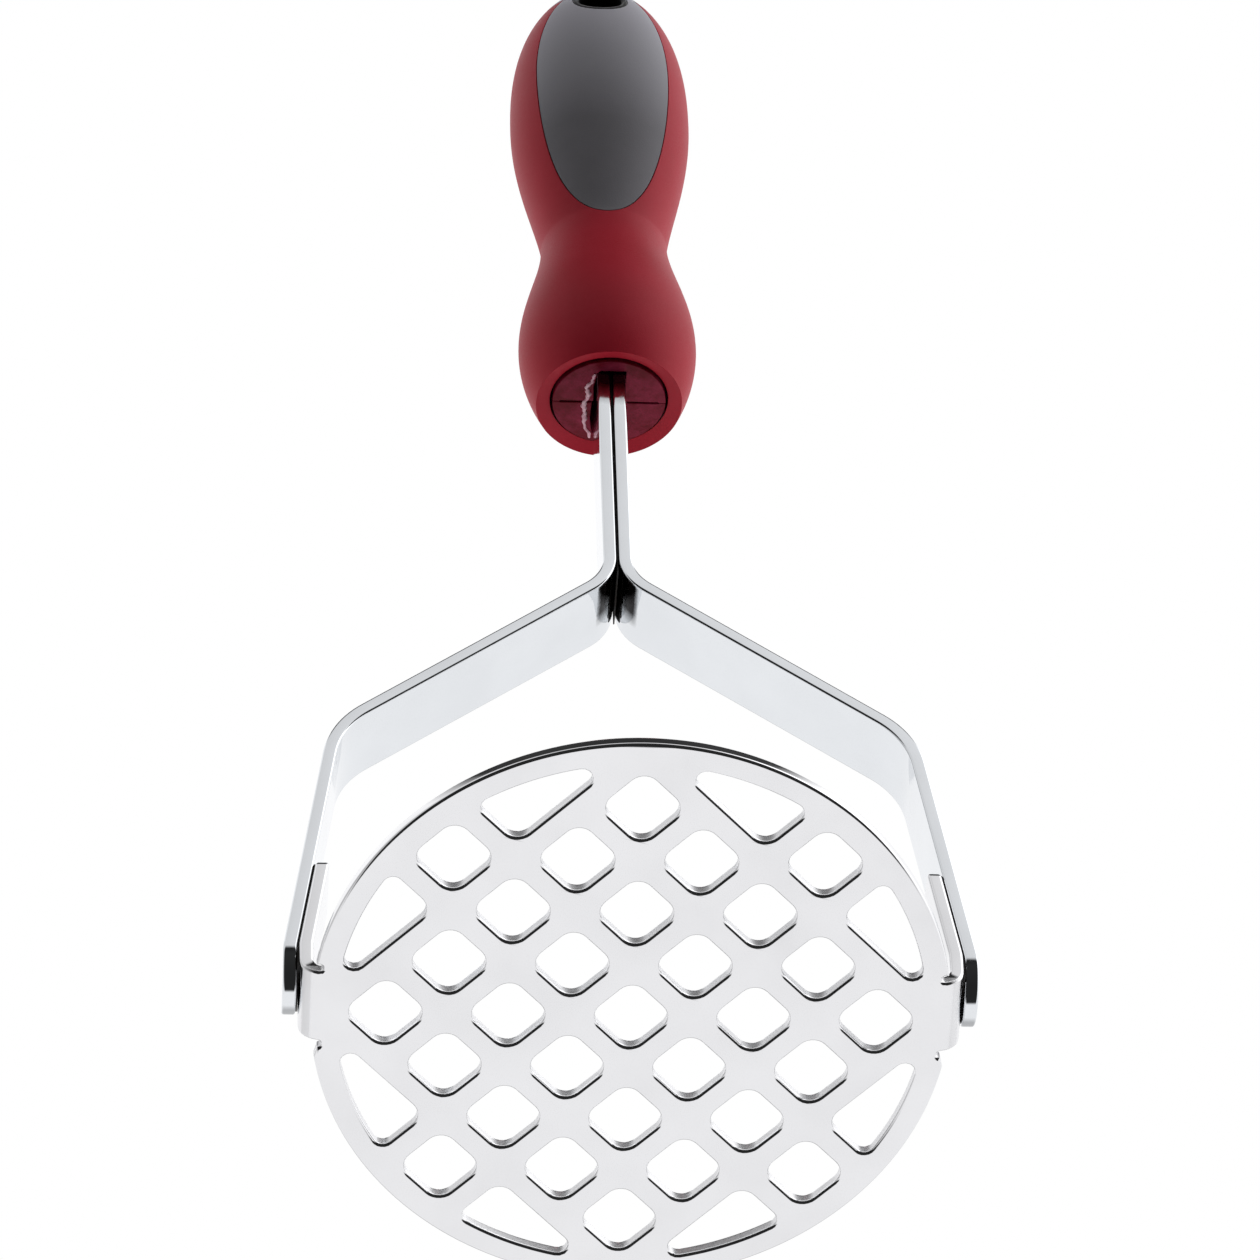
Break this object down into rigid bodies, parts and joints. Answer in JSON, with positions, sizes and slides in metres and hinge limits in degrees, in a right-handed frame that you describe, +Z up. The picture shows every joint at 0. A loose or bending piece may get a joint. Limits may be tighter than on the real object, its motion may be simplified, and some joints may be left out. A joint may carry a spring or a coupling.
{
  "type": "potato masher",
  "caption": "Hand potato masher: round steel plate with a diamond hole pattern, a yoke of bent strips spot-welded to its ears, and a leaning soft-grip handle with a thumb pad and hanging hole.",
  "frame": {"origin": "centre of the bounding box's bottom, on the plane of the mashing plate's underside; the plate's own centre is 9.7 mm behind it, towards +Y", "axes": "+Z is up from the plate's underside, +X is across the yoke to the right arm, and the handle leans 15 degrees from +Z towards -Y, the side of the thumb pad"},
  "size_m": [0.1088, 0.1194, 0.2284],
  "materials": {
    "plate_chrome": "bright chromed steel strip, mirror-like",
    "yoke_chrome": "bright chromed steel strip, mirror-like",
    "core_plum": "semi-gloss moulded plastic",
    "pin_steel": "plain drawn steel",
    "sleeve_red": "soft-touch overmould, satin",
    "cap_grey": "soft-touch overmould, matte",
    "liner_black": "matte moulded plastic"
  },
  "bodies": {
    "root": {"mashing_plate": "plate_chrome", "arm_left": "yoke_chrome", "arm_right": "yoke_chrome", "core_front": "core_plum", "core_back": "core_plum", "tang_pin": "pin_steel", "grip_sleeve": "sleeve_red", "thumb_cap": "cap_grey", "hang_hole_liner": "liner_black"}
  },
  "joints": []
}
